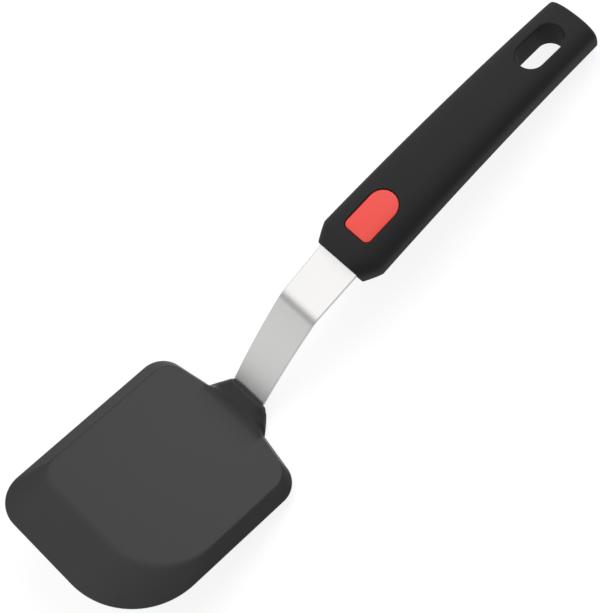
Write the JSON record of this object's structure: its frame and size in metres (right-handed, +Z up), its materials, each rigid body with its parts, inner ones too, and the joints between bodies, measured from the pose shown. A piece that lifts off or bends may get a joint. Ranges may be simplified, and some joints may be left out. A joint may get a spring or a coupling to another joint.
{
  "type": "silicone turner",
  "caption": "Flexible silicone kitchen turner: bevelled blade with one large rounded corner, bent flat steel shank, soft-grip handle with hanging slot and red inlay.",
  "frame": {"origin": "bottom centre of the box round the turner as it lies on a table, leaning back on the blade's heel and the handle's tail with the blade's front edge raised", "axes": "+X across the blade towards its large rounded corner, +Y from the blade's front edge to the handle's tail, +Z up"},
  "size_m": [0.074, 0.2694, 0.035],
  "materials": {
    "black_silicone": "satin moulded silicone",
    "spring_steel": "plain rolled",
    "stainless_steel": "finely brushed",
    "core_plastic": "as moulded",
    "grip_rubber": "soft-touch matte",
    "red_plastic": "semi-gloss moulded"
  },
  "bodies": {
    "root": {"silicone_head": "black_silicone", "blade_core": "spring_steel", "core_rivet_front": "stainless_steel", "core_rivet_rear": "stainless_steel", "shank": "stainless_steel", "handle_core": "core_plastic", "handle_grip": "grip_rubber", "red_inlay": "red_plastic"}
  },
  "joints": []
}
